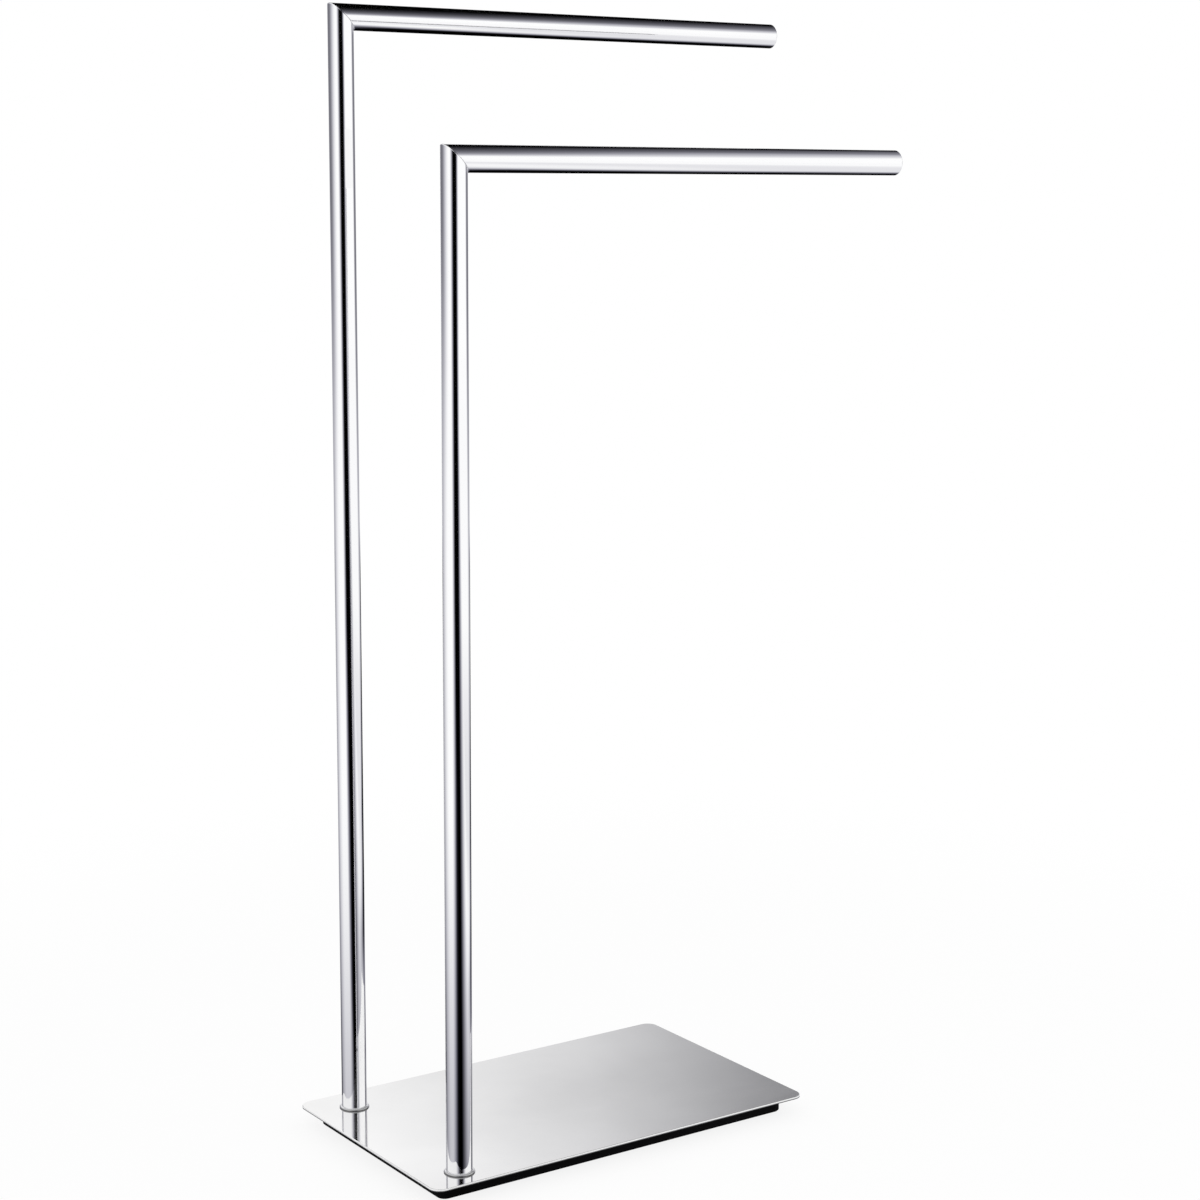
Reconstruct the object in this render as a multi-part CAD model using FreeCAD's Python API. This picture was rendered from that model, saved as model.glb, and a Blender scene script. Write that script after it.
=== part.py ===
import FreeCAD, Part
import math
import os

# Two-rail towel stand: two L-shaped rails of round tube, the taller one at the back,
# bolted to a polished base plate that is weighed down by a ballast slab under it.
# Millimetres, +Z up, +X along the rails towards their free ends, +Y to the back.
# Origin: on the floor, under the middle of the stand's overall length and depth.

# Rails
tube_diameter = 19.0
tube_wall = 1.0
arm_reach = 391.0            # post axis to the tip of the arm's end cap
rear_rail_height = 814.0     # plate's top face to the rear arm's axis
front_rail_height = 714.0    # plate's top face to the front arm's axis
mitre_gap = 0.1              # hairline seam between post and arm

# Base plate
plate_length = 334.0
plate_depth = 204.0
plate_thickness = 2.0
plate_corner_radius = 9.0
plate_edge_chamfer = 0.4

# Where the posts stand on the plate
post_inset = 33.0            # from the plate's left edge to both post axes
front_post_inset = 22.0      # from the plate's front edge to the front post's axis
rear_post_inset = 29.0       # from the plate's rear edge to the rear post's axis

# Ballast slab
slab_thickness = 12.0
slab_inset = 12.0            # how far the plate overhangs the slab on every side
slab_corner_radius = 7.0
slab_edge_chamfer = 0.8

# Rubber pads under the slab
foot_length = 14.0           # along the stand
foot_width = 26.0            # across the stand
foot_height = 1.5
foot_corner_radius = 3.0
foot_side_inset = 16.0       # slab's short edge to the foot's centre
foot_end_inset = 44.0        # slab's long edge to the foot's centre

# Ring round the foot of each post
ring_flange = 1.8            # how far the ring stands out from the tube
ring_height = 1.6
ring_chamfer = 0.6
ring_clearance = 0.1

# Elbow inside each mitred corner: a full round knuckle with a ribbed leg into each tube
joiner_leg = 34.0            # from the corner of the axes to the end of each leg
joiner_knuckle = 14.0        # from the corner of the axes to the end of the full section
joiner_rib_thickness = 3.2
joiner_lead = 1.0            # chamfer at the end of each leg

# End caps of the arms
cap_head = 2.0               # thickness of the disc that closes the tube
cap_chamfer = 0.8
cap_spigot_length = 9.0

# What is pushed into a tube
press_clearance = 0.05

# Low-head socket bolt, from under the slab into the threaded plug of the post: M6
bolt_diameter = 6.0
bolt_length = 20.0           # under the head
bolt_head_diameter = 10.0
bolt_head_height = 4.0
bolt_socket_size = 4.0       # across the flats of the hexagon socket
bolt_socket_depth = 2.3
bolt_washer_diameter = 12.0
bolt_washer_thickness = 1.6
spring_washer_diameter = 11.0
spring_washer_thickness = 1.6
spring_washer_split = 1.0
spring_washer_slant = 25.0   # degrees, the split from upright
bolt_seat_web = 3.5          # slab left above the bolt's counterbore
thread_clearance = 0.05
thread_runout = 4.0          # threaded hole past the bolt's tip
tip_chamfer = 0.6            # end of a bolt or stud

# Weld studs that hold the free end of the plate on the slab: M5
stud_diameter = 5.0
stud_flange_diameter = 6.5
stud_flange_height = 0.8
stud_end_inset = 34.0        # slab's right edge to the stud axes
stud_side_inset = 24.0       # slab's long edges to the stud axes
stud_seat_web = 5.0          # slab left above the nut's pocket
stud_overrun = 1.0           # stud past its nut
stud_washer_diameter = 10.0
stud_washer_thickness = 1.0
nut_size = 8.0               # across the flats
nut_height = 4.0
nut_chamfer_angle = 30.0     # degrees

# Room round fasteners
hole_clearance = 0.4         # radial, shank in a drilled hole
pocket_clearance = 1.0       # radial, washer in its counterbore
nut_pocket_clearance = 1.5   # radial, so that a socket key fits round the nut

tube_radius = tube_diameter / 2
bore_radius = tube_radius - tube_wall
fitted_radius = bore_radius - press_clearance

overall_length = max(plate_length, post_inset + arm_reach)
left_edge = -overall_length / 2
right_edge = left_edge + plate_length
front_edge = -plate_depth / 2
rear_edge = plate_depth / 2

slab_bottom = foot_height
plate_bottom = slab_bottom + slab_thickness
plate_top = plate_bottom + plate_thickness

post_x = left_edge + post_inset
rails = {
    "front": (front_edge + front_post_inset, plate_top + front_rail_height),
    "rear": (rear_edge - rear_post_inset, plate_top + rear_rail_height),
}

bolt_hole_radius = bolt_diameter / 2 + hole_clearance
bolt_pocket_radius = bolt_washer_diameter / 2 + pocket_clearance
bolt_seat = plate_bottom - bolt_seat_web
bolt_tip = bolt_seat - bolt_washer_thickness - spring_washer_thickness + bolt_length
plug_top = bolt_tip + thread_runout

stud_hole_radius = stud_flange_diameter / 2 + hole_clearance
stud_pocket_radius = nut_size / math.sqrt(3) + nut_pocket_clearance
stud_seat = plate_bottom - stud_seat_web
stud_x = right_edge - slab_inset - stud_end_inset
stud_ys = (
    front_edge + slab_inset + stud_side_inset,
    rear_edge - slab_inset - stud_side_inset,
)

up = FreeCAD.Vector(0, 0, 1)
right = FreeCAD.Vector(1, 0, 0)


def point(x, y, z):
    return FreeCAD.Vector(x, y, z)


def upright(radius, x, y, low, high):
    """A vertical cylinder from the height low to the height high."""
    return Part.makeCylinder(radius, high - low, point(x, y, low), up)


def turned(outline, x, y, z):
    """A solid turned about a vertical axis from (radius, height) points."""
    corners = [point(radius, 0, height) for radius, height in outline + outline[:1]]
    solid = Part.Face(Part.makePolygon(corners)).revolve(point(0, 0, 0), up, 360)
    solid.translate(point(x, y, z))
    return solid


def laid_along_x(solid, x, y, z):
    """Turns a solid that was made about +Z at the origin so that it points along +X."""
    solid.rotate(point(0, 0, 0), point(0, 1, 0), 90)
    solid.translate(point(x, y, z))
    return solid


def rounded_slab(length, depth, thickness, corner, x, y, z):
    """A flat slab with rounded vertical corners."""
    slab = Part.makeBox(length, depth, thickness, point(x, y, z))
    corners = [edge for edge in slab.Edges if abs(edge.tangentAt(edge.FirstParameter).z) > 0.9]
    return slab.makeFillet(corner, corners)


def edges_at(solid, height):
    """The edges of a solid that lie wholly at one height."""
    found = []
    for edge in solid.Edges:
        box = edge.BoundBox
        if abs(box.ZMin - height) < 1e-4 and abs(box.ZMax - height) < 1e-4:
            found.append(edge)
    return found


def hexagon(across_flats, x, y, low, high):
    """An upright hexagonal prism."""
    reach = across_flats / math.sqrt(3)
    corners = []
    for index in range(7):
        angle = math.radians(60 * index)
        corners.append(point(x + reach * math.cos(angle), y + reach * math.sin(angle), low))
    return Part.Face(Part.makePolygon(corners)).extrude(point(0, 0, high - low))


def mitre_side(y, height, towards_arm, gap=0.0):
    """The wedge of space on one side of a corner's mitre plane, and half of the gap with it."""
    reach = joiner_leg + tube_diameter
    shift = gap / 2 * math.sqrt(0.5)
    sign = 1 if towards_arm else -1
    x = post_x - sign * shift
    z = height - sign * shift
    wedge = Part.Face(Part.makePolygon([
        point(x - reach, y - reach, z + reach),
        point(x + reach, y - reach, z - reach),
        point(x + sign * reach, y - reach, z + sign * reach),
        point(x - reach, y - reach, z + reach),
    ]))
    return wedge.extrude(point(0, 2 * reach, 0))


def post_tube(y, height):
    top = height + tube_radius
    tube = upright(tube_radius, post_x, y, plate_top, top)
    tube = tube.cut(upright(bore_radius, post_x, y, plate_top, top))
    return tube.cut(mitre_side(y, height, True, mitre_gap))


def arm_tube(y, height):
    start = post_x - tube_radius
    length = post_x + arm_reach - cap_head - start
    tube = Part.makeCylinder(tube_radius, length, point(start, y, height), right)
    tube = tube.cut(Part.makeCylinder(bore_radius, length, point(start, y, height), right))
    return tube.cut(mitre_side(y, height, False, mitre_gap))


def joiner_half():
    """One leg of the elbow, upwards from the corner of the axes."""
    leg = upright(fitted_radius, 0, 0, -fitted_radius, joiner_leg)
    leg = leg.makeChamfer(joiner_lead, edges_at(leg, joiner_leg))
    knuckle = upright(fitted_radius, 0, 0, -fitted_radius, joiner_knuckle)
    wide = 2 * fitted_radius
    rib = Part.makeBox(wide, joiner_rib_thickness, joiner_leg,
                       point(-wide / 2, -joiner_rib_thickness / 2, 0))
    cross_rib = rib.copy()
    cross_rib.rotate(point(0, 0, 0), up, 90)
    return leg.common(knuckle.fuse([rib, cross_rib]))


def corner_joiner(y, height):
    down_leg = joiner_half()
    down_leg.rotate(point(0, 0, 0), right, 180)
    down_leg.translate(point(post_x, y, height))
    side_leg = laid_along_x(joiner_half(), post_x, y, height)
    down_leg = down_leg.common(mitre_side(y, height, False))
    side_leg = side_leg.common(mitre_side(y, height, True))
    return down_leg.fuse(side_leg).removeSplitter()


def arm_cap(y, height):
    """A flat cap with a chamfered rim, on a spigot that is pushed into the arm's end."""
    cap = turned([
        (0, -cap_spigot_length),
        (fitted_radius, -cap_spigot_length),
        (fitted_radius, 0),
        (tube_radius, 0),
        (tube_radius, cap_head - cap_chamfer),
        (tube_radius - cap_chamfer, cap_head),
        (0, cap_head),
    ], 0, 0, 0)
    return laid_along_x(cap, post_x + arm_reach - cap_head, y, height)


def base_ring(y):
    bore = tube_radius + ring_clearance
    outer = tube_radius + ring_flange
    return turned([
        (bore, 0),
        (outer, 0),
        (outer, ring_height - ring_chamfer),
        (outer - ring_chamfer, ring_height),
        (bore, ring_height),
    ], post_x, y, plate_top)


def post_plug(y):
    """The threaded plug welded into the foot of a post."""
    hole_radius = bolt_diameter / 2 + thread_clearance
    return washer(post_x, y, fitted_radius, hole_radius, plate_top, plug_top - plate_top)


def post_bolt(y):
    """A socket bolt, its head below and its tip up in the plug."""
    under_head = bolt_seat - bolt_washer_thickness - spring_washer_thickness
    low = under_head - bolt_head_height
    head = upright(bolt_head_diameter / 2, post_x, y, low, under_head)
    shank = upright(bolt_diameter / 2, post_x, y, under_head, bolt_tip)
    shank = shank.makeChamfer(tip_chamfer, edges_at(shank, bolt_tip))
    socket = hexagon(bolt_socket_size, post_x, y, low, low + bolt_socket_depth)
    return head.fuse(shank).cut(socket)


def washer(x, y, outer_radius, hole_radius, low, thickness):
    ring = upright(outer_radius, x, y, low, low + thickness)
    return ring.cut(upright(hole_radius, x, y, low, low + thickness))


def bolt_washer(y):
    low = bolt_seat - bolt_washer_thickness
    outer = bolt_washer_diameter / 2
    return washer(post_x, y, outer, bolt_hole_radius, low, bolt_washer_thickness)


def spring_washer(y):
    low = bolt_seat - bolt_washer_thickness - spring_washer_thickness
    outer = spring_washer_diameter / 2
    ring = washer(post_x, y, outer, bolt_hole_radius, low, spring_washer_thickness)
    split = Part.makeBox(outer, spring_washer_split, 4 * spring_washer_thickness,
                         point(0, -spring_washer_split / 2, -2 * spring_washer_thickness))
    split.rotate(point(0, 0, 0), right, spring_washer_slant)
    split.translate(point(post_x, y, low + spring_washer_thickness / 2))
    return ring.cut(split)


def base_plate():
    plate = rounded_slab(plate_length, plate_depth, plate_thickness, plate_corner_radius,
                         left_edge, front_edge, plate_bottom)
    rims = edges_at(plate, plate_top) + edges_at(plate, plate_bottom)
    plate = plate.makeChamfer(plate_edge_chamfer, rims)
    for y, _ in rails.values():
        plate = plate.cut(upright(bolt_hole_radius, post_x, y, plate_bottom, plate_top))
    return plate


def ballast_slab():
    length = plate_length - 2 * slab_inset
    depth = plate_depth - 2 * slab_inset
    slab = rounded_slab(length, depth, slab_thickness, slab_corner_radius,
                        left_edge + slab_inset, front_edge + slab_inset, slab_bottom)
    slab = slab.makeChamfer(slab_edge_chamfer, edges_at(slab, slab_bottom))
    for y, _ in rails.values():
        slab = slab.cut(upright(bolt_hole_radius, post_x, y, slab_bottom, plate_bottom))
        slab = slab.cut(upright(bolt_pocket_radius, post_x, y, slab_bottom, bolt_seat))
    for y in stud_ys:
        slab = slab.cut(upright(stud_hole_radius, stud_x, y, slab_bottom, plate_bottom))
        slab = slab.cut(upright(stud_pocket_radius, stud_x, y, slab_bottom, stud_seat))
    return slab


def plate_stud(y):
    length = stud_seat_web + stud_washer_thickness + nut_height + stud_overrun
    shank = upright(stud_diameter / 2, stud_x, y, plate_bottom - length, plate_bottom)
    shank = shank.makeChamfer(tip_chamfer, edges_at(shank, plate_bottom - length))
    flange = upright(stud_flange_diameter / 2, stud_x, y,
                     plate_bottom - stud_flange_height, plate_bottom)
    return shank.fuse(flange).removeSplitter()


def stud_washer(y):
    low = stud_seat - stud_washer_thickness
    hole_radius = stud_diameter / 2 + hole_clearance
    return washer(stud_x, y, stud_washer_diameter / 2, hole_radius, low, stud_washer_thickness)


def stud_nut(y):
    """A hexagon nut with the corners of its lower face turned off."""
    high = stud_seat - stud_washer_thickness
    low = high - nut_height
    corner = nut_size / math.sqrt(3)
    flat = nut_size / 2
    blank = turned([
        (0, low),
        (flat, low),
        (corner, low + (corner - flat) * math.tan(math.radians(nut_chamfer_angle))),
        (corner, high),
        (0, high),
    ], stud_x, y, 0)
    nut = hexagon(nut_size, stud_x, y, low, high).common(blank)
    return nut.cut(upright(stud_diameter / 2 + thread_clearance, stud_x, y, low, high))


def rubber_foot(x, y):
    return rounded_slab(foot_length, foot_width, foot_height, foot_corner_radius,
                        x - foot_length / 2, y - foot_width / 2, 0)


def at_posts(make):
    """The same piece at both posts, as two solids of one node."""
    return Part.makeCompound([make(y) for y, _ in rails.values()])


def at_studs(make):
    return Part.makeCompound([make(y) for y in stud_ys])


nodes = {
    "base_plate": base_plate(),
    "ballast_slab": ballast_slab(),
    "base_rings": at_posts(base_ring),
    "post_plugs": at_posts(post_plug),
    "post_bolts": at_posts(post_bolt),
    "bolt_washers": at_posts(bolt_washer),
    "spring_washers": at_posts(spring_washer),
    "plate_studs": at_studs(plate_stud),
    "stud_washers": at_studs(stud_washer),
    "stud_nuts": at_studs(stud_nut),
}

for side, (y, height) in rails.items():
    nodes[side + "_post_tube"] = post_tube(y, height)
    nodes[side + "_arm_tube"] = arm_tube(y, height)
    nodes[side + "_corner_joiner"] = corner_joiner(y, height)
    nodes[side + "_arm_cap"] = arm_cap(y, height)

foot_xs = {
    "left": left_edge + slab_inset + foot_side_inset,
    "right": right_edge - slab_inset - foot_side_inset,
}
foot_ys = {
    "front": front_edge + slab_inset + foot_end_inset,
    "rear": rear_edge - slab_inset - foot_end_inset,
}
for side, y in foot_ys.items():
    for end, x in foot_xs.items():
        nodes["foot_" + side + "_" + end] = rubber_foot(x, y)

os.makedirs("parts", exist_ok=True)
for name, shape in nodes.items():
    shape.exportStep("parts/" + name + ".step")
    print(name, len(shape.Solids), "solid", round(shape.Volume / 1000, 2), "cm3", shape.isValid())
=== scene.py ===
import math

import bmesh
import bpy
from mathutils import Euler, Matrix, Vector


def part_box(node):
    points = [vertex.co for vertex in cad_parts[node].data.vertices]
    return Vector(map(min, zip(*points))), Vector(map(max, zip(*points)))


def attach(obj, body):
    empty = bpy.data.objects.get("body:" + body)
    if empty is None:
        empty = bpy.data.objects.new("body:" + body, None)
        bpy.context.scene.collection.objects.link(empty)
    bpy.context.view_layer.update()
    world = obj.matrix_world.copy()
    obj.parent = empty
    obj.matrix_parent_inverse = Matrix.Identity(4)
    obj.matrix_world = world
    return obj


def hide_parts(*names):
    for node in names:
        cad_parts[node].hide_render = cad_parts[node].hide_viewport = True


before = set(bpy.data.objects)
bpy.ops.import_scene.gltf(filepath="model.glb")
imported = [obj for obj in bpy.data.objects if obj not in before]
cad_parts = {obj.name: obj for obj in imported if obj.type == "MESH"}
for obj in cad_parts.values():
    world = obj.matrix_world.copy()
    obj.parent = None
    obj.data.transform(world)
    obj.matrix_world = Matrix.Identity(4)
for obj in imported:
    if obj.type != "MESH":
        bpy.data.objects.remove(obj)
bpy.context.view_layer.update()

print("towel stand: frame loaded,", len(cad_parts), "nodes")

# where things are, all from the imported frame, in metres

plateLow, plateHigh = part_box("base_plate")
tubeRadius = (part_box("front_post_tube")[1].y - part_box("front_post_tube")[0].y) / 2
up = Vector((0, 0, 1))


def railPlace(side):
    postLow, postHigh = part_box(side + "_post_tube")
    armLow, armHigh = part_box(side + "_arm_tube")
    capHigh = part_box(side + "_arm_cap")[1]
    return {
        "side": side,
        "foot": Vector((postLow.x + tubeRadius, (postLow.y + postHigh.y) / 2, postLow.z)),
        "armHeight": (armLow.z + armHigh.z) / 2,
        "tubeEnd": armHigh.x,
        "tip": capHigh.x,
    }


rails = [railPlace("front"), railPlace("rear")]


# shader helpers

class Wire:
    # a socket that plain arithmetic can be written with; each step adds its Math node
    def __init__(self, shader, socket):
        self.shader = shader
        self.socket = socket

    def maths(self, operation, *values):
        return self.shader.wire("Math", {"operation": operation}, dict(enumerate(values)))

    def __add__(self, other):
        return self.maths("ADD", self, other)

    def __radd__(self, other):
        return self.maths("ADD", other, self)

    def __sub__(self, other):
        return self.maths("SUBTRACT", self, other)

    def __rsub__(self, other):
        return self.maths("SUBTRACT", other, self)

    def __mul__(self, other):
        return self.maths("MULTIPLY", self, other)

    def __rmul__(self, other):
        return self.maths("MULTIPLY", other, self)

    def __truediv__(self, other):
        return self.maths("DIVIDE", self, other)

    def __rtruediv__(self, other):
        return self.maths("DIVIDE", other, self)

    def __pow__(self, other):
        return self.maths("POWER", self, other)

    def __rpow__(self, other):
        return self.maths("POWER", other, self)

    def __neg__(self):
        return self.maths("MULTIPLY", self, -1.0)

    def largest(self, other):
        return self.maths("MAXIMUM", self, other)

    def smallest(self, other):
        return self.maths("MINIMUM", self, other)

    def ease(self, low, high):
        # 0 at low, 1 at high and eased between them; low may be above high
        return self.remap("SMOOTHSTEP", low, high)

    def slope(self, low, high):
        return self.remap("LINEAR", low, high)

    def band(self, starts, ends):
        # 1 inside, eased from 0 over starts and back to 0 over ends
        return self.ease(*starts) * self.ease(*ends)

    def remap(self, kind, low, high):
        return self.shader.wire("MapRange", {"interpolation_type": kind, "clamp": True},
                                {"Value": self, "From Min": low, "From Max": high})


class Shader:
    # one node tree, filled from its settings and from the values or links of its sockets
    def __init__(self, tree):
        self.tree = tree
        tree.nodes.clear()

    def node(self, kind, settings=None, sockets=None):
        made = self.tree.nodes.new("ShaderNode" + kind)
        for name, value in (settings or {}).items():
            setattr(made, name, value)
        for name, value in (sockets or {}).items():
            if isinstance(value, Wire):
                self.tree.links.new(value.socket, made.inputs[name])
            else:
                made.inputs[name].default_value = value
        return made

    def wire(self, kind, settings=None, sockets=None, output=0):
        return Wire(self, self.node(kind, settings, sockets).outputs[output])

    def mix(self, factor, first, second):
        # the Mix node's colours go in at sockets 6 and 7 and come out at 2
        return self.wire("Mix", {"data_type": "RGBA"}, {0: factor, 6: first, 7: second}, 2)

    def blend(self, factor, first, second):
        return self.wire("MixShader", None, {0: factor, 1: first, 2: second})

    def parts(self, vector):
        split = self.node("SeparateXYZ", None, {0: vector})
        return [Wire(self, socket) for socket in split.outputs]

    def place(self, scale=(1, 1, 1)):
        # Object coordinates, stretched by scale
        here = self.wire("TexCoord", None, None, "Object")
        return self.wire("Mapping", None, {"Vector": here, "Scale": scale})

    def noise(self, vector, scale, detail=2.0, roughness=0.5, distortion=0.0):
        return self.wire("TexNoise", None, {"Vector": vector, "Scale": scale, "Detail": detail,
                                            "Roughness": roughness, "Distortion": distortion})

    def rays(self):
        # whether the ray comes straight from the camera, and whether by way of metal or glass
        path = self.node("LightPath").outputs
        seen, glossy, through = [Wire(self, path[name]) for name in
                                 ("Is Camera Ray", "Is Glossy Ray", "Is Transmission Ray")]
        return seen, glossy.largest(through)

    def glow(self, level):
        return self.wire("Emission", None, {"Color": grey(level), "Strength": 1.0})

    def clear(self, tone):
        return self.wire("BsdfTransparent", None, {"Color": tone})

    def surface(self, shown):
        self.node("OutputMaterial", None, {"Surface": shown})


def grey(level):
    return (level, level, level, 1)


def newMaterial(name):
    material = bpy.data.materials.new(name)
    material.use_nodes = True
    return material, Shader(material.node_tree)


def finishMaterial(material, shader, constants, links, height, depth):
    # height bumps the surface by up to depth
    bump = shader.wire("Bump", None, {"Strength": 1.0, "Distance": depth, "Height": height})
    shader.surface(shader.wire("BsdfPrincipled", None, {**constants, **links, "Normal": bump}))
    return material


# camera

camera = {
    "place": (-1.0613, -1.5181, 0.7153),
    "compass": 34.90,        # degrees from +Y towards +X
    "dip": 9.601,            # degrees below the horizon
    "lean": 0.253,           # degrees, the head of the camera to its left
    "lens": 74.459,
    "sensor": 36.0,
    "shift": (-0.00042, 0.00042),
    "clip": (0.05, 60.0),
}


def makeCamera():
    data = bpy.data.cameras.new("standCamera")
    data.sensor_width = camera["sensor"]
    data.lens = camera["lens"]
    data.shift_x, data.shift_y = camera["shift"]
    data.clip_start, data.clip_end = camera["clip"]
    made = bpy.data.objects.new("standCamera", data)
    bpy.context.scene.collection.objects.link(made)
    aim = Euler((math.radians(90 - camera["dip"]), 0, math.radians(-camera["compass"])), "XYZ")
    roll = Matrix.Rotation(math.radians(camera["lean"]), 4, "Z")
    made.matrix_world = Matrix.Translation(camera["place"]) @ aim.to_matrix().to_4x4() @ roll
    bpy.context.scene.camera = made


makeCamera()
print("camera placed")


# studio: rises and turns are in degrees, turns from the way to the camera and positive to its right

studio = {
    "cameraCompass": 211.5,    # the way from the stand to the camera, degrees from +Y to +X
    "cameraHeight": 0.715,
    "cameraReach": 1.69,       # from the front post to the camera, level
    "skyForDiffuse": 0.86,
    "mirrorWhite": 1.04,
    "lilac": (0.85, 0.84, 1.0, 1),
    "roundSegments": 256,
}
inDegrees = 180 / math.pi


def turnOf(shader, x, y):
    facing = math.radians(studio["cameraCompass"])
    ahead = x * math.sin(facing) + y * math.cos(facing)
    aside = x * -math.cos(facing) + y * math.sin(facing)
    return aside.maths("ARCTAN2", aside, ahead) * inDegrees


def moved(pair, shifts, share):
    # a pair of numbers, each moved by its share of shifts
    return [number + shift * share for number, shift in zip(pair, shifts)]


# the dark of the room behind the camera; heights are where the front post mirrors it
room = {
    "right": 13.4, "rightSoft": 22, "rightHighSoft": 14,
    "rightShift": 10.6, "rightShiftHeights": (0.6, 0.1),
    "left": (9, 37), "leftShifts": (-17, -4),
    "highHeights": (1.0, 1.2), "nearHeights": (0.42, 0.28),
    "footLight": 0.59, "footHeights": (0.02, 0.30),
    "farDim": 0.04, "farTurns": (140, 90),
}


def footLight(height):
    return room["footLight"] + (1 - room["footLight"]) * height.ease(*room["footHeights"])


def roomLight(turn, height):
    high = height.slope(*room["highHeights"])
    near = high + height.slope(*room["nearHeights"])
    shift = high + height.slope(*room["rightShiftHeights"])
    start = room["right"] + room["rightShift"] * shift
    right = turn.ease(start, start + room["rightSoft"] + room["rightHighSoft"] * high)
    left = (-turn).ease(*moved(room["left"], room["leftShifts"], near)) * footLight(height)
    return right, left * (1 - room["farDim"] * high * (-turn).ease(*room["farTurns"]))


# what the table takes off the room's light, more and further round lower down
shade = {
    "rightEnd": 34, "rightShift": 58, "rightHeights": (0.56, 0.12),
    "rightFoot": 0.46, "rightFootHeights": (0.02, 0.24),
    "left": (3, 54), "leftShifts": (6, -17),
    "leftHeights": ((0.3, 0.45), (0.05, 0.45)),
    "rightFaint": (0.002, 0.02), "leftFaint": (0.001, 0.006),
    "middle": 6,               # half the turn over which left passes into right
}


def shareOf(wanted, given, faint):
    # what brings given down to wanted; faint keeps it steady where both are near nothing
    return ((wanted + faint[0]) / (given + faint[1])).smallest(1.0)


def tableShade(turn, height):
    right, left = roomLight(turn, height)
    start = room["right"] + room["rightShift"] * height.slope(*room["rightShiftHeights"])
    end = shade["rightEnd"] + shade["rightShift"] * height.slope(*shade["rightHeights"])
    foot = shade["rightFoot"]
    foot = foot + (1 - foot) * height.ease(*shade["rightFootHeights"])
    shadeRight = shareOf(turn.ease(start, end), right, shade["rightFaint"]) * foot
    start, end = [number + shift * height.slope(*heights) for number, shift, heights
                  in zip(shade["left"], shade["leftShifts"], shade["leftHeights"])]
    shadeLeft = shareOf((-turn).ease(start, end) * footLight(height), left, shade["leftFaint"])
    middle = shade["middle"]
    return shadeRight * turn.ease(-middle, 0) + shadeLeft * turn.ease(0, -middle)


# the room's dark has a pale window across it and ends below the ceiling
window = {"rises": ((6, 11), (19, 16.5)), "top": (24.5, 28), "light": 0.88}

# a grey wall on the left, darker towards its top and further round lower down
leftWall = {
    "starts": (44, 118), "startShifts": (24, 20),
    "ends": (170, 140), "endShifts": (14, 24),
    "depth": 0.38, "topRises": (14, 6),
    "upperDepth": 0.42, "upperRises": (-8, 0),
    "footDepth": 0.12, "footRises": (-12, -20),
    "edgeDepth": 0.16, "edgeTurns": (105, 145),
}

# a narrow grey stand on the right
rightStand = {
    "starts": (100, 119), "startShifts": (9, 9),
    "ends": (158, 142), "endShifts": (9, 9),
    "rises": ((10, 4), (-28, -22)),
    "depth": 0.64, "upperDepth": 0.14, "upperRises": (-6, -2),
    "paleDepth": 0.26, "paleRises": ((-4, -10), (-20, -15)),
}

# darker flats far round on both sides, high up and low down
flat = {
    "starts": (114, 137), "startShifts": (9, 8),
    "ends": (172, 163), "endShifts": (4, 1),
    "highRises": ((16, 19), (28, 24)), "lowRises": (-17, -21),
    "depth": 0.5, "leftDepth": 0.12, "leftLowDepth": 0.18, "leftTurns": (60, 100),
}

# the backdrop falls off to the right of its middle, with a faint cloud in it; back is its compass
backdrop = {
    "rises": ((15, 18.5), (30, 25)), "end": (56, 43),
    "falls": ((0.2, (26, 34)), (0.86, (32, 43))), "mostFall": 0.72, "tint": 0.4,
    "cloud": (31, 33.5), "cloudRises": ((20.1, 20.7), (21.6, 21.1)), "cloudDepth": 0.08,
    "clear": (22, 26), "clearRises": (21.1, 22.2), "clearLight": 0.1,
}
lowRises = (-2, -9)            # over these the shifts come in
overhead = {"rises": (30, 70), "depth": 0.25}


def leftWallDepth(turn, rise, low):
    depth = leftWall["depth"] + leftWall["upperDepth"] * rise.ease(*leftWall["upperRises"])
    depth = depth + leftWall["footDepth"] * rise.ease(*leftWall["footRises"])
    depth = depth * rise.ease(*leftWall["topRises"])
    return depth + leftWall["edgeDepth"] * low * (-turn).ease(*leftWall["edgeTurns"])


def rightStandDepth(rise):
    depth = rightStand["depth"] + rightStand["upperDepth"] * rise.ease(*rightStand["upperRises"])
    return depth - rightStand["paleDepth"] * rise.band(*rightStand["paleRises"])


def flatDepth(turn, rise, low):
    leftDepth = flat["leftDepth"] + flat["leftLowDepth"] * low
    depth = flat["depth"] + leftDepth * (-turn).ease(*flat["leftTurns"])
    return depth * (rise.band(*flat["highRises"]) + rise.ease(*flat["lowRises"]))


def acrossTurns(angle, look, low):
    return angle.band(moved(look["starts"], look["startShifts"], low),
                      moved(look["ends"], look["endShifts"], low))


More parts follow.
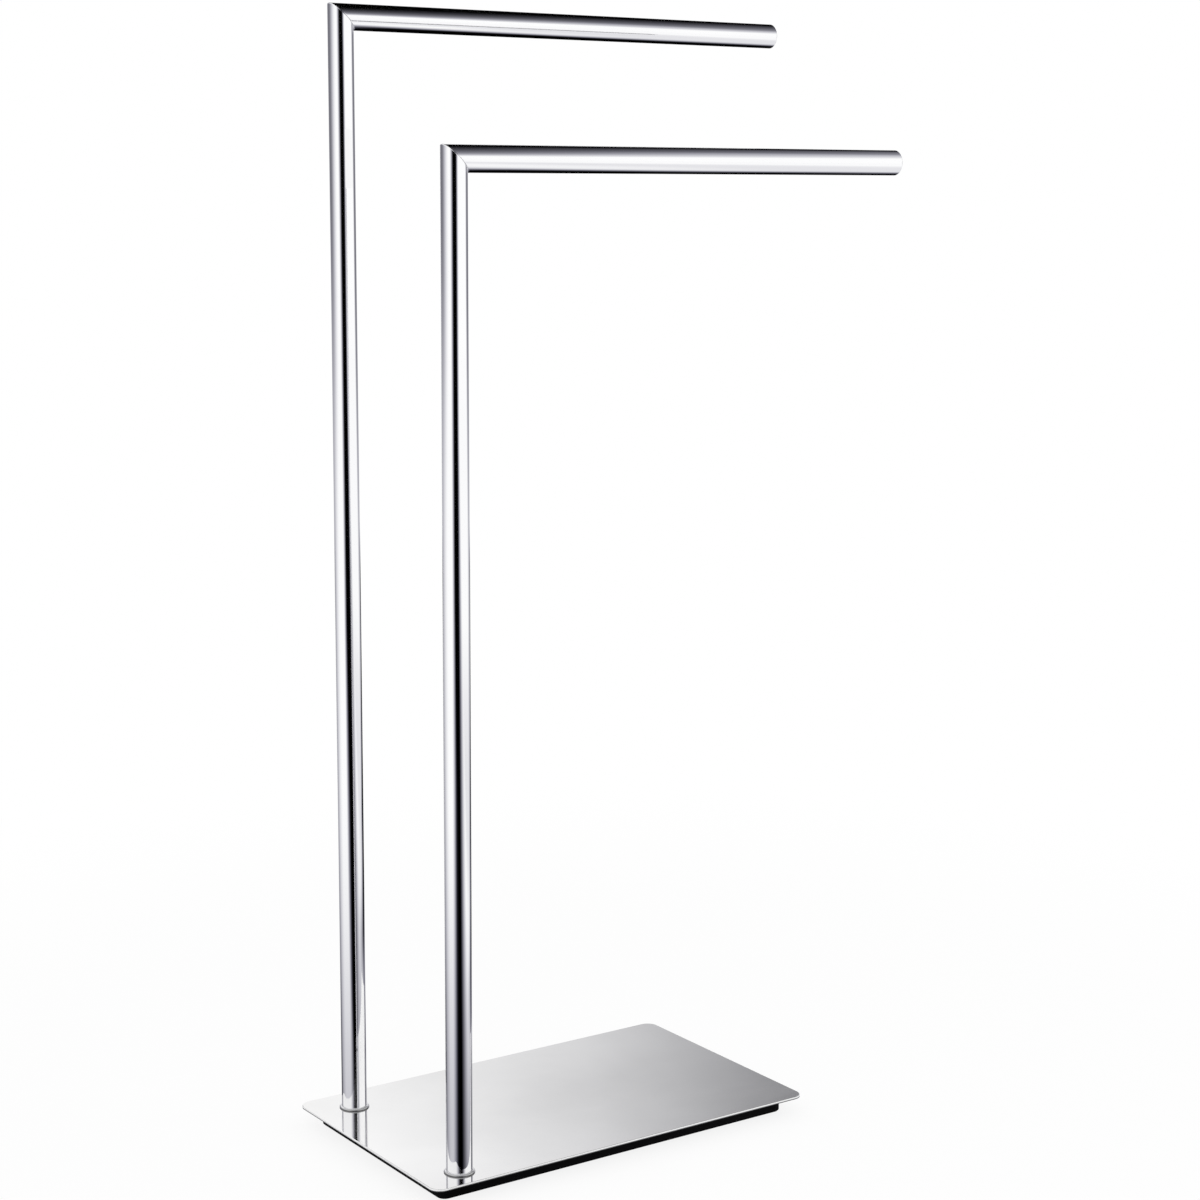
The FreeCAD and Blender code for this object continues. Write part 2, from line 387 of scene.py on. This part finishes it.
def makeWorld():
    world = bpy.data.worlds.new("studioSurround")
    bpy.context.scene.world = world
    world.use_nodes = True
    shader = Shader(world.node_tree)
    x, y, z = shader.parts(shader.wire("TexCoord", None, None, "Generated"))
    rise = z.maths("ARCSINE", z) * inDegrees
    back = x.maths("ARCTAN2", x, y) * inDegrees
    turn = turnOf(shader, x, y)
    low = rise.ease(*lowRises)

    height = studio["cameraHeight"] + studio["cameraReach"] * z / (x * x + y * y) ** 0.5
    right, left = roomLight(turn, height)
    light = right + left
    pane = rise.band(*window["rises"]) + rise.ease(*window["top"])
    light = light + window["light"] * pane * (1 - light)
    light = light * (1 - acrossTurns(-turn, leftWall, low) * leftWallDepth(turn, rise, low))
    stand = acrossTurns(turn, rightStand, low) * rise.band(*rightStand["rises"])
    light = light * (1 - stand * rightStandDepth(rise))
    around = turn.maths("ABSOLUTE", turn)
    light = light * (1 - acrossTurns(around, flat, low) * flatDepth(turn, rise, low))
    light = light * (1 - overhead["depth"] * rise.ease(*overhead["rises"]))

    behind = back.ease(*backdrop["end"]) * rise.band(*backdrop["rises"])
    (first, firstTurns), (second, secondTurns) = backdrop["falls"]
    fall = 1 - (1 - first * back.ease(*firstTurns)) * (1 - second * back.ease(*secondTurns))
    fall = fall.smallest(backdrop["mostFall"]) * behind
    cloud = back.ease(*backdrop["cloud"]) * rise.band(*backdrop["cloudRises"]) * behind
    clear = back.ease(*backdrop["clear"]) * rise.ease(*backdrop["clearRises"]) * behind
    haze = 1 - backdrop["cloudDepth"] * cloud + backdrop["clearLight"] * clear

    tone = shader.mix(light * (1 - backdrop["tint"] * fall), studio["lilac"], grey(1.0))
    light = light * (1 - fall) * haze

    def background(colour, strength):
        return shader.wire("Background", None, {"Color": colour, "Strength": strength})

    seen, mirrored = shader.rays()
    inMetal = shader.blend(mirrored, background(grey(1.0), studio["skyForDiffuse"]),
                           background(tone, light * studio["mirrorWhite"]))
    full = shader.blend(seen, inMetal, background(grey(1.0), 1.0))
    shader.node("OutputWorld", None, {"Surface": full})


def card(name, form, material):
    # a piece of the studio, not of the stand
    mesh = bpy.data.meshes.new(name)
    form.to_mesh(mesh)
    form.free()
    mesh.materials.append(material)
    made = bpy.data.objects.new(name, mesh)
    bpy.context.scene.collection.objects.link(made)
    return made


def flatForm(low, high, height):
    form = bmesh.new()
    bmesh.ops.create_grid(form, x_segments=1, y_segments=1, size=0.5)
    bmesh.ops.scale(form, verts=form.verts, vec=(high[0] - low[0], high[1] - low[1], 1))
    bmesh.ops.translate(form, verts=form.verts,
                        vec=((low[0] + high[0]) / 2, (low[1] + high[1]) / 2, height))
    return form


def roundForm(x, y, height, radius):
    form = bmesh.new()
    bmesh.ops.create_circle(form, cap_ends=True, radius=radius,
                            segments=studio["roundSegments"],
                            matrix=Matrix.Translation((x, y, height)))
    return form


def faceTowards(form, way):
    form.normal_update()
    wrong = [face for face in form.faces if face.normal.dot(Vector(way)) < 0]
    bmesh.ops.reverse_faces(form, faces=wrong)


def mirrorCard(name, form, material):
    # seen only in the metal
    made = card(name, form, material)
    made.visible_camera = False
    made.visible_diffuse = False
    made.visible_shadow = False
    made.visible_volume_scatter = False


def tintedSheet(name, build):
    # passes as much of the light behind it as build gives
    material, shader = newMaterial(name)
    light = build(shader).largest(0.0).smallest(1.0)
    passed = shader.blend(light, shader.clear(studio["lilac"]), shader.clear(grey(1.0)))
    shader.surface(shader.blend(light, shader.glow(0.0), passed))
    return material


def glowingSheet(name, build):
    # glows on its front and lets light through from behind
    material, shader = newMaterial(name)
    glow = build(shader).largest(0.0).smallest(1.0)
    front = shader.blend(glow, shader.glow(0.0), shader.glow(1.0))
    hidden = Wire(shader, shader.node("NewGeometry").outputs["Backfacing"])
    shader.surface(shader.blend(hidden, front, shader.clear(grey(1.0))))
    return material


def flatPlace(shader):
    return shader.parts(shader.wire("TexCoord", None, None, "Object"))[:2]


floor = {"half": 8.0, "height": -0.0003, "paper": 0.96, "glow": 0.86, "whiteFrom": (0.45, 1.1)}


def makeFloor():
    # paper that keeps the shadow, and whiter away from the stand
    material, shader = newMaterial("paleFloor")
    x, y = flatPlace(shader)
    reach = (x * x + y * y) ** 0.5
    seen, mirrored = shader.rays()
    paper = shader.wire("BsdfDiffuse", None, {"Color": grey(floor["paper"])})
    glow = floor["glow"] + (1 - floor["glow"]) * reach.ease(*floor["whiteFrom"])
    shader.surface(shader.blend(seen.largest(mirrored) * glow, paper, shader.glow(1.0)))
    half = floor["half"]
    made = card("studioFloor", flatForm((-half, -half), (half, half), floor["height"]), material)
    made.visible_glossy = False


# dark over the posts, lighter along the arms and towards the front
ceiling = {
    "low": (-1.2, -2.5), "high": (3.0, 1.0), "height": 1.1,
    "full": 1.367, "postDark": 1.154, "postX": -0.35, "backDark": 0.453, "backLength": 0.4,
    "armLight": 0.11, "armX": (0.1, 0.4), "armY": (-0.12, -0.25),
    "edgeX": (-1.0, -0.6), "edgeY": ((1.0, 0.5), (-2.4, -1.3)),
}


def ceilingLight(shader):
    x, y = flatPlace(shader)
    light = ceiling["full"] - ceiling["postDark"] * math.e ** (ceiling["postX"] - x)
    light = light - ceiling["backDark"] * math.e ** (y / ceiling["backLength"])
    light = light + ceiling["armLight"] * x.ease(*ceiling["armX"]) * y.ease(*ceiling["armY"])
    light = light.largest(0.0).smallest(1.0)
    inside = x.ease(*ceiling["edgeX"]) * y.band(*ceiling["edgeY"])
    return 1 - (1 - light * light) * inside


# takes the room's light, is a little greyer to the right, and dark behind the stand on that side
table = {
    "radius": 8.8, "height": -0.0001,
    "greyDepth": 0.18, "greyX": (0.3, 0.75), "greyReach": (2.4, 1.2),
    "edgeSlope": 0.63, "edgeOffset": 0.29, "edgeBend": 0.12, "bendX": (0.55, 0.85),
    "edge": (-0.28, 0.26), "darkX": (0.08, 0.35), "darkReach": (3.6, 2.8),
}


def tableLight(shader):
    foot = rails[0]["foot"]
    x, y = flatPlace(shader)
    fromX, fromY = x - foot.x, y - foot.y
    reach = (fromX * fromX + fromY * fromY) ** 0.5
    height = studio["cameraHeight"] * reach / (reach + studio["cameraReach"])
    light = tableShade(turnOf(shader, fromX, fromY), height)
    light = light * (1 - table["greyDepth"] * x.ease(*table["greyX"])
                     * reach.ease(*table["greyReach"]))
    edge = y - table["edgeSlope"] * x + table["edgeOffset"]
    edge = edge + table["edgeBend"] * x.ease(*table["bendX"])
    behind = edge.ease(*table["edge"]) * x.ease(*table["darkX"]) * reach.ease(*table["darkReach"])
    return light * (1 - behind)


# a pale disc over the plate, clear from above, for what the plate mirrors from higher up
disc = {
    "place": (0.0, -0.02, 0.5), "radius": 0.72,
    "bright": 0.66, "fall": 0.42, "spread": 0.7, "lean": 0.5, "cloud": 0.12, "cloudScale": 3.0,
}


def discGlow(shader):
    x, y = flatPlace(shader)
    cloud = shader.noise(shader.place(), disc["cloudScale"])
    fall = (x + disc["lean"] * y).ease(-disc["spread"], disc["spread"])
    return disc["bright"] - disc["fall"] * fall + disc["cloud"] * (cloud - 0.5)


# a small white card between the front rail and the rear post, facing the rear post
screen = {
    "x": (-0.186, -0.02), "y": 0.012, "z": (0.709, 0.752),
    "glow": 0.97, "postGlow": 0.03, "postX": (-0.2, -0.1),
}


def screenGlow(shader):
    x = flatPlace(shader)[0]
    return screen["glow"] + screen["postGlow"] * x.ease(*screen["postX"])


def makeCards():
    mirrorCard("overheadCard", flatForm(ceiling["low"], ceiling["high"], ceiling["height"]),
               tintedSheet("overheadTint", ceilingLight))
    foot = rails[0]["foot"]
    mirrorCard("tableCard", roundForm(foot.x, foot.y, table["height"], table["radius"]),
               tintedSheet("tableTint", tableLight))
    form = roundForm(*disc["place"], disc["radius"])
    faceTowards(form, (0, 0, -1))
    mirrorCard("discCard", form, glowingSheet("discGlow", discGlow))
    low, high = zip(screen["x"], screen["z"])
    form = flatForm(low, high, 0.0)
    for vert in form.verts:
        vert.co = (vert.co.x, screen["y"], vert.co.y)
    faceTowards(form, (0, 1, 0))
    mirrorCard("screenCard", form, glowingSheet("screenGlow", screenGlow))


lamps = {
    "softKey": {"place": (-1.6, -1.4, 2.2), "size": 1.4, "power": 9.0},
    "softFill": {"place": (1.8, -1.2, 1.6), "size": 1.6, "power": 5.0},
}
lampAim = Vector((0, 0, 0.3))


def makeLamp(name, look):
    data = bpy.data.lights.new(name, "AREA")
    data.size = look["size"]
    data.energy = look["power"]
    lamp = bpy.data.objects.new(name, data)
    bpy.context.scene.collection.objects.link(lamp)
    way = (lampAim - Vector(look["place"])).to_track_quat("-Z", "Y")
    lamp.matrix_world = Matrix.Translation(look["place"]) @ way.to_matrix().to_4x4()
    lamp.visible_glossy = False


makeWorld()
makeFloor()
makeCards()
for name, look in lamps.items():
    makeLamp(name, look)
bpy.context.scene.view_settings.view_transform = "Standard"
print("studio set")


# finishes

cloudSpan = (0.3, 0.7)         # the stretch of the noise that takes a tone from deep to bright


def polishedMetal(name, look, seam=None):
    # seam is (height, depth, level) of painted shade at a foot, darker towards where it meets the
    # plate
    material, shader = newMaterial(name)
    here = shader.place()
    cloud = shader.noise(here, look["cloudScale"], 3.0)
    smear = shader.noise(shader.place(look["smearStretch"]), look["smearScale"], 4.0, 0.6, 0.4)
    specks = shader.noise(here, look["speckScale"], 1.0)
    tone = shader.mix(cloud.slope(*cloudSpan), look["deep"], look["bright"])
    if seam:
        foot, depth, level = seam
        # painted shade: the base colour darkens towards the foot, where the ring meets the plate
        clean = shader.parts(here)[2].ease(foot, foot + depth)
        tone = shader.mix(clean, grey(level), tone)
    rough = look["rough"] + look["smear"] * smear.ease(*look["smearSpan"])
    rough = rough + look["speck"] * specks.ease(*look["speckSpan"])
    waves = shader.noise(here, look["waveScale"], 1.0, 0.4)
    lines = shader.noise(shader.place(look["lineStretch"]), look["lineScale"], 2.0, 0.6)
    return finishMaterial(material, shader, {"Metallic": 1.0},
                          {"Base Color": tone, "Roughness": rough},
                          waves + lines * look["lineShare"], look["waveDepth"])


chromeLook = {
    "bright": (0.955, 0.955, 0.96, 1), "deep": (0.935, 0.937, 0.945, 1), "cloudScale": 9.0,
    "rough": 0.05,
    "smear": 0.03, "smearScale": 14.0, "smearStretch": (1, 1, 0.35), "smearSpan": (0.45, 0.8),
    "speck": 0.01, "speckScale": 2600.0, "speckSpan": (0.6, 0.8),
    "waveScale": 16.0, "waveDepth": 0.00003,
    "lineScale": 900.0, "lineStretch": (1, 1, 0.04), "lineShare": 0.003,
}
armLook = dict(chromeLook, smearStretch=(0.35, 1, 1), lineStretch=(0.04, 1, 1))
capLook = dict(chromeLook, rough=0.06)
ringLook = dict(chromeLook, rough=0.09, bright=(0.9, 0.9, 0.91, 1), deep=(0.86, 0.86, 0.875, 1))
plateLook = dict(chromeLook, bright=(0.912, 0.910, 0.906, 1), deep=(0.850, 0.848, 0.845, 1),
                 cloudScale=12.0, rough=0.07, smear=0.05, smearScale=9.0,
                 smearStretch=(0.5, 1, 1), waveScale=9.0, waveDepth=0.00004,
                 lineStretch=(0.05, 1, 1), lineShare=0.001)
# painted shade along the foot of the rings, where they meet the plate
ringFootShade = {"depth": 0.0019, "level": 0.12}

postChrome = polishedMetal("postChrome", chromeLook)
armChrome = polishedMetal("armChrome", armLook)
capChrome = polishedMetal("capChrome", capLook)
ringChrome = polishedMetal("ringChrome", ringLook,
                           (plateHigh.z, ringFootShade["depth"], ringFootShade["level"]))
platePolish = polishedMetal("platePolish", plateLook)


# the sheared and deburred edge of the sheet, duller than its top, with a dark line of painted shade
# along its lower arris
edgeLook = {
    "bright": (0.97, 0.97, 0.97, 1), "deep": (0.90, 0.90, 0.905, 1), "cloudScale": 60.0,
    "metal": 0.25, "rough": 0.42, "spread": 0.12,
    "streakScale": 1400.0, "streakStretch": (1, 1, 0.15), "streakDepth": 0.00001,
    "shadeLevel": 0.05, "shadeTop": 0.0011, "shadeFull": 0.0005,
}


def satinEdge(name, look):
    material, shader = newMaterial(name)
    here = shader.place()
    streaks = shader.noise(shader.place(look["streakStretch"]), look["streakScale"], 3.0, 0.6)
    cloud = shader.noise(here, look["cloudScale"])
    tone = shader.mix(cloud.slope(*cloudSpan), look["deep"], look["bright"])
    height = shader.parts(here)[2]
    # painted shade: the base colour darkens along the lower arris, where the edge is in shade
    arris = height.ease(plateLow.z + look["shadeTop"], plateLow.z + look["shadeFull"])
    tone = shader.mix(arris, tone, grey(look["shadeLevel"]))
    rough = look["rough"] + look["spread"] * streaks
    return finishMaterial(material, shader, {"Metallic": look["metal"]},
                          {"Base Color": tone, "Roughness": rough}, streaks, look["streakDepth"])


coatLook = {
    "bright": (0.0034, 0.0034, 0.0037, 1), "deep": (0.0016, 0.0016, 0.0018, 1),
    "cloudScale": 30.0, "rough": 0.55, "spread": 0.15, "shine": 0.05,
    "peelScale": 900.0, "peelDepth": 0.00005,
}


def powderCoat(name, look):
    material, shader = newMaterial(name)
    here = shader.place()
    peel = shader.noise(here, look["peelScale"])
    cloud = shader.noise(here, look["cloudScale"], 3.0, 0.6)
    tone = shader.mix(cloud.slope(*cloudSpan), look["deep"], look["bright"])
    return finishMaterial(material, shader, {"Specular IOR Level": look["shine"]},
                          {"Base Color": tone, "Roughness": look["rough"] + look["spread"] * cloud},
                          peel, look["peelDepth"])


zincLook = {
    "bright": (0.70, 0.71, 0.73, 1), "deep": (0.56, 0.57, 0.60, 1), "cloudScale": 220.0,
    "grainScale": 1500.0, "grainStretch": (1, 1, 1), "grainDepth": 0.00002,
    "rough": 0.22, "spread": 0.15,
}
plugLook = dict(zincLook, bright=(0.56, 0.56, 0.57, 1), deep=(0.44, 0.44, 0.46, 1),
                grainStretch=(1, 1, 12), rough=0.28)
castLook = dict(zincLook, bright=(0.66, 0.67, 0.68, 1), deep=(0.52, 0.53, 0.54, 1),
                grainScale=1100.0, grainDepth=0.00006, rough=0.45)


def plainSteel(name, look):
    material, shader = newMaterial(name)
    cloud = shader.noise(shader.place(), look["cloudScale"], 4.0, 0.6)
    grain = shader.noise(shader.place(look["grainStretch"]), look["grainScale"], 3.0, 0.6)
    tone = shader.mix(cloud.slope(*cloudSpan), look["deep"], look["bright"])
    return finishMaterial(material, shader, {"Metallic": 1.0},
                          {"Base Color": tone, "Roughness": look["rough"] + look["spread"] * cloud},
                          grain, look["grainDepth"])


rubberLook = {
    "dusty": (0.05, 0.05, 0.05, 1), "clean": (0.022, 0.022, 0.023, 1),
    "dustScale": 160.0, "dustSpan": (0.5, 0.8),
    "rough": 0.75, "spread": 0.2, "shine": 0.3, "grainScale": 1800.0, "grainDepth": 0.00006,
}


def mattRubber(name, look):
    material, shader = newMaterial(name)
    here = shader.place()
    grain = shader.noise(here, look["grainScale"], 3.0, 0.6)
    dust = shader.noise(here, look["dustScale"], 4.0, 0.65)
    tone = shader.mix(dust.ease(*look["dustSpan"]), look["clean"], look["dusty"])
    return finishMaterial(material, shader, {"Specular IOR Level": look["shine"]},
                          {"Base Color": tone, "Roughness": look["rough"] + look["spread"] * dust},
                          grain, look["grainDepth"])


plateEdge = satinEdge("plateEdge", edgeLook)
slabBlack = powderCoat("slabBlack", coatLook)
brightZinc = plainSteel("brightZinc", zincLook)
plugSteel = plainSteel("plugSteel", plugLook)
joinerCast = plainSteel("joinerCast", castLook)
padRubber = mattRubber("padRubber", rubberLook)
print("finishes made")


# shapes

sharpAngle = math.radians(30)
looseMatch = 1e-5              # metres between places that are taken as one
tightMatch = 1e-7


def inOrder(form):
    # the same form with its edges and faces in one order, which Blender's own tools vary
    form.verts.index_update()
    ordered = bmesh.new()
    points = [ordered.verts.new(vert.co) for vert in form.verts]
    for ends, smooth in sorted((sorted(vert.index for vert in edge.verts), edge.smooth)
                               for edge in form.edges):
        ordered.edges.new([points[index] for index in ends]).smooth = smooth
    loops = [[vert.index for vert in face.verts] for face in form.faces]
    starts = [loop.index(min(loop)) for loop in loops]
    for loop in sorted(loop[start:] + loop[:start] for loop, start in zip(loops, starts)):
        ordered.faces.new([points[index] for index in loop])
    ordered.normal_update()
    form.free()
    return ordered


def finishPiece(name, form, material, slot, *cadNodes):
    form = inOrder(form)
    for edge in form.edges:
        if edge.is_manifold and edge.calc_face_angle() > sharpAngle:
            edge.smooth = False
    for face in form.faces:
        face.smooth = True
    mesh = bpy.data.meshes.new(name)
    form.to_mesh(mesh)
    form.free()
    mesh.materials.append(material)
    piece = bpy.data.objects.new(name, mesh)
    bpy.context.scene.collection.objects.link(piece)
    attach(piece, "root")
    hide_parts(*cadNodes)
    return piece


def circleAt(form, x, y, height, radius, segments):
    return bmesh.ops.create_circle(form, cap_ends=False, radius=radius, segments=segments,
                                   matrix=Matrix.Translation((x, y, height)))["verts"]


def bevelEdges(form, edges, width, segments):
    return bmesh.ops.bevel(form, geom=edges, offset=width, offset_type="OFFSET",
                           segments=segments, profile=0.5, affect="EDGES", material=-1)


tube = {
    "segments": 128,
    "wall": 0.001,
    "mitreSeam": 0.0001,
    "rimRound": 0.00012, "rimSteps": 2,
    "shadingHold": 0.0006,     # loops this far from a cut end keep the polish even
}


def mitredTube(name, start, along, length, cutAt, cutNormal, material, slot, cadNode):
    # start is on the axis at the square end; cutNormal points off the piece that stays
    form = bmesh.new()
    turnTo = along.to_track_quat("Z", "Y").to_matrix().to_4x4()
    for radius in (tubeRadius, tubeRadius - tube["wall"]):
        lower, upper = [circleAt(form, 0, 0, height, radius, tube["segments"])
                        for height in (0, length)]
        for index in range(tube["segments"]):
            form.faces.new((lower[index - 1], lower[index], upper[index], upper[index - 1]))
    bmesh.ops.transform(form, matrix=Matrix.Translation(start) @ turnTo, verts=form.verts)
    everything = form.verts[:] + form.edges[:] + form.faces[:]
    bmesh.ops.bisect_plane(form, geom=everything, dist=tightMatch, plane_co=cutAt,
                           plane_no=cutNormal, clear_outer=True)
    everything = form.verts[:] + form.edges[:] + form.faces[:]
    bmesh.ops.bisect_plane(form, geom=everything, dist=tightMatch,
                           plane_co=cutAt - cutNormal * tube["shadingHold"], plane_no=cutNormal)
    rims = [edge for edge in form.edges if edge.is_boundary]
    atCut = [edge for edge in rims
             if all(abs((vert.co - cutAt).dot(cutNormal)) < looseMatch for vert in edge.verts)]
    atEnd = [edge for edge in rims if edge not in atCut]
    for edges in (atCut, atEnd):
        bmesh.ops.bridge_loops(form, edges=edges)
    bmesh.ops.recalc_face_normals(form, faces=form.faces)

    def fromAxis(vert):
        offset = vert.co - start
        return (offset - along * offset.dot(along)).length

    outerRim = [edge for edge in atCut
                if all(abs(fromAxis(vert) - tubeRadius) < looseMatch for vert in edge.verts)]
    bevelEdges(form, outerRim, tube["rimRound"], tube["rimSteps"])
    finishPiece(name, form, material, slot, cadNode)


def turnedForm(outline, rounded, segments, matrix):
    # outline is (radius, height) points; rounded says how much to round some of them
    form = bmesh.new()
    points = [form.verts.new((radius, 0, height)) for radius, height in outline]
    for first, second in zip(points, points[1:]):
        form.edges.new((first, second))
    for index, (width, steps) in rounded.items():
        bmesh.ops.bevel(form, geom=[points[index]], offset=width, offset_type="OFFSET",
                        segments=steps, profile=0.5, affect="VERTICES", material=-1)
    bmesh.ops.spin(form, geom=form.verts[:] + form.edges[:], cent=(0, 0, 0), axis=(0, 0, 1),
                   angle=math.tau, steps=segments, use_merge=True, use_duplicate=False)
    bmesh.ops.remove_doubles(form, verts=form.verts, dist=tightMatch)
    bmesh.ops.recalc_face_normals(form, faces=form.faces)
    bmesh.ops.transform(form, matrix=matrix, verts=form.verts)
    return form


cap = {
    "segments": 128,
    "spigot": 0.009, "spigotRound": (0.0006, 3),
    "fit": 0.00105,            # the spigot's radius below the tube's
    "rimRound": (0.0011, 8),   # width and steps, as for the other rounds
    "crown": 0.00025, "crownRound": (0.003, 4), "crownRing": 0.5, "crownFall": 0.2,
}


def endCap(rail):
    head = rail["tip"] - rail["tubeEnd"]
    inner = tubeRadius - cap["fit"]
    shoulder = head - cap["crown"]
    outline = [(0, -cap["spigot"]), (inner, -cap["spigot"]), (inner, 0), (tubeRadius, 0),
               (tubeRadius, shoulder),
               (tubeRadius * cap["crownRing"], head - cap["crown"] * cap["crownFall"]), (0, head)]
    rounded = {1: cap["spigotRound"], 4: cap["rimRound"], 5: cap["crownRound"]}
    matrix = (Matrix.Translation((rail["tubeEnd"], rail["foot"].y, rail["armHeight"]))
              @ Matrix.Rotation(math.radians(90), 4, "Y"))
    form = turnedForm(outline, rounded, cap["segments"], matrix)
    finishPiece(rail["side"] + "ArmCap", form, capChrome, "cap_chrome",
                rail["side"] + "_arm_cap")


ring = {"segments": 128, "gap": 0.0001, "topRound": (0.0011, 8), "footRound": (0.00015, 2)}


def footRings():
    low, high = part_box("base_rings")
    outer = (high.x - low.x) / 2
    height = high.z - low.z
    bore = tubeRadius + ring["gap"]
    outline = [(bore, 0), (outer, 0), (outer, height), (bore, height), (bore, 0)]
    rounded = {1: ring["footRound"], 2: ring["topRound"], 3: ring["footRound"]}
    form = bmesh.new()
    for rail in rails:
        mesh = bpy.data.meshes.new("ringStep")
        one = turnedForm(outline, rounded, ring["segments"], Matrix.Translation(rail["foot"]))
        one.to_mesh(mesh)
        one.free()
        form.from_mesh(mesh)
        bpy.data.meshes.remove(mesh)
    finishPiece("footRings", form, ringChrome, "ring_chrome", "base_rings")


levelNormal = 0.999            # a face is level when the upright part of its normal passes this


def boreHole(form, x, y, steps, segments):
    # steps are (height, radius) pairs from the lower face up; returns its lowest and top loops
    loops = []
    for height, radius in steps:
        made = circleAt(form, x, y, height, radius, segments)
        loops.append(list(dict.fromkeys(edge for vert in made for edge in vert.link_edges)))
    for lower, upper in zip(loops, loops[1:]):
        bmesh.ops.bridge_loops(form, edges=lower + upper)
    return loops[0], loops[-1]


def roundedSheet(name, low, high, look, holes, material, slot, cadNode):
    form = bmesh.new()
    bmesh.ops.create_cube(form, size=1)
    bmesh.ops.scale(form, verts=form.verts, vec=high - low)
    bmesh.ops.translate(form, verts=form.verts, vec=(low + high) / 2)
    corners = [edge for edge in form.edges
               if abs(edge.verts[0].co.z - edge.verts[1].co.z) > looseMatch]
    bevelEdges(form, corners, look["corner"], look["cornerSteps"])
    for height, width in ((high.z, look["topRound"]), (low.z, look["lowRound"])):
        rim = [edge for edge in form.edges
               if all(abs(vert.co.z - height) < tightMatch for vert in edge.verts)]
        bevelEdges(form, rim, width, look["rimSteps"])
    flats = [face for face in form.faces if abs(face.normal.z) > levelNormal]
    bounds = {True: [], False: []}
    for face in flats:
        bounds[face.normal.z > 0] += list(face.edges)
    bmesh.ops.delete(form, geom=flats, context="FACES_ONLY")
    for x, y, steps in holes:
        lowest, topmost = boreHole(form, x, y, steps, look["holeSegments"])
        bounds[False] += lowest
        bounds[True] += topmost
    for upper, edges in bounds.items():
        bmesh.ops.triangle_fill(form, use_beauty=True, edges=edges,
                                normal=(0, 0, 1 if upper else -1))
        for edge in edges:
            edge.smooth = False
    bmesh.ops.recalc_face_normals(form, faces=form.faces)
    return finishPiece(name, form, material, slot, cadNode)


plate = {
    "corner": 0.009, "cornerSteps": 20, "topRound": 0.0005, "lowRound": 0.0004,
    "rimSteps": 4, "holeSegments": 48, "boltHole": 0.0034,
    "edgeNormals": (-0.98, 0.6),   # faces whose normals rise by this much belong to the edge
}


def basePlate():
    steps = [(plateLow.z, plate["boltHole"]), (plateHigh.z, plate["boltHole"])]
    holes = [(rail["foot"].x, rail["foot"].y, steps) for rail in rails]
    piece = roundedSheet("basePlate", plateLow, plateHigh, plate, holes, platePolish,
                         "plate_polish", "base_plate")
    piece.data.materials.append(plateEdge)
    lowest, highest = plate["edgeNormals"]
    for face in piece.data.polygons:
        if lowest < face.normal.z < highest:
            face.material_index = 1


def bentRail(rail):
    corner = Vector((rail["foot"].x, rail["foot"].y, rail["armHeight"]))
    across = Vector((1, 0, 1)).normalized()
    seam = across * (tube["mitreSeam"] / 2)
    spare = 2 * tubeRadius     # cut off again by the mitre
    mitredTube(rail["side"] + "PostTube", rail["foot"], up,
               rail["armHeight"] - rail["foot"].z + spare, corner - seam, across,
               postChrome, "rail_chrome", rail["side"] + "_post_tube")
    mitredTube(rail["side"] + "ArmTube", Vector((rail["tubeEnd"], corner.y, corner.z)),
               Vector((-1, 0, 0)), rail["tubeEnd"] - corner.x + spare, corner + seam,
               -across, armChrome, "rail_chrome", rail["side"] + "_arm_tube")
    endCap(rail)


for rail in rails:
    bentRail(rail)
footRings()
basePlate()
print("rails, caps, rings and plate modelled")

for names, material in (
    (["ballast_slab"], slabBlack),
    (["post_bolts", "bolt_washers", "spring_washers", "stud_washers", "stud_nuts",
      "plate_studs"], brightZinc),
    (["post_plugs"], plugSteel),
    (["front_corner_joiner", "rear_corner_joiner"], joinerCast),
    (["foot_front_left", "foot_front_right", "foot_rear_left", "foot_rear_right"], padRubber),
):
    for name in names:
        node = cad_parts[name]
        node.data.materials.clear()
        node.data.materials.append(material)
print("CAD nodes finished")
